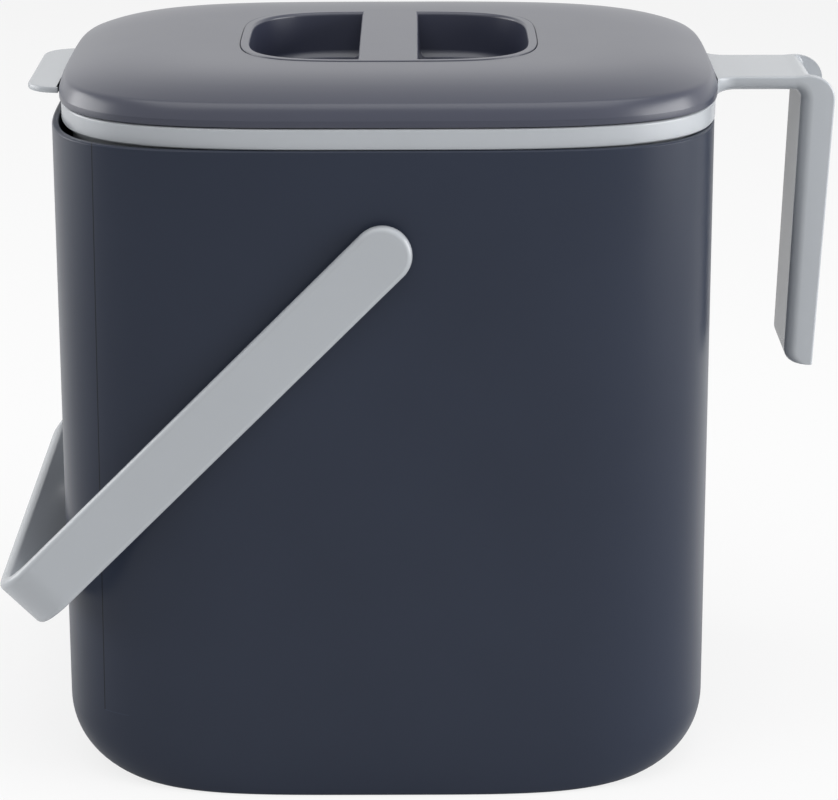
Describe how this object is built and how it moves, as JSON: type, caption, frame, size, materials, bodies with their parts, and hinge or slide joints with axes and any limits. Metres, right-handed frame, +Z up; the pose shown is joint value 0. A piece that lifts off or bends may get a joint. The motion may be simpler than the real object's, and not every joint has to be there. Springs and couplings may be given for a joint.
{
  "type": "compost caddy",
  "caption": "Rounded-square kitchen compost caddy: outer bucket, lift-out liner with jug handle and lift tab, hinged lid with finger-well grip, swinging bail.",
  "frame": {"origin": "middle of the flat base, on the surface that the caddy stands on", "axes": "+Z up, +X to the jug handle, +Y to the lid's hinge, -Y the front"},
  "size_m": [0.2813, 0.198, 0.2425],
  "materials": {
    "dark_shell": "satin",
    "dark_lid": "satin",
    "light_shell": "satin",
    "seal": "matt",
    "steel": "bright"
  },
  "bodies": {
    "bucket": {"outer_bucket": "dark_shell"},
    "liner": {"liner_bucket": "light_shell", "hinge_pin": "steel"},
    "lid": {"lid_shell": "dark_lid", "grip_insert": "dark_lid", "lid_inner_plate": "light_shell", "lid_seal": "seal"},
    "bail": {"bail_handle": "light_shell"}
  },
  "joints": [
    {"name": "liner_lift", "type": "slide", "parent": "bucket", "child": "liner", "axis": [0, 0, 1], "range_m": [0, 0.235]},
    {"name": "lid_hinge", "type": "hinge", "parent": "liner", "child": "lid", "pos_m": [0.0017, 0.08895, 0.2283], "axis": [-1, 0, 0], "range_deg": [0, 100]},
    {"name": "bail_swing", "type": "hinge", "parent": "bucket", "child": "bail", "pos_m": [0, 0, 0.1888], "axis": [0, 1, 0], "range_deg": [0, 270]}
  ]
}
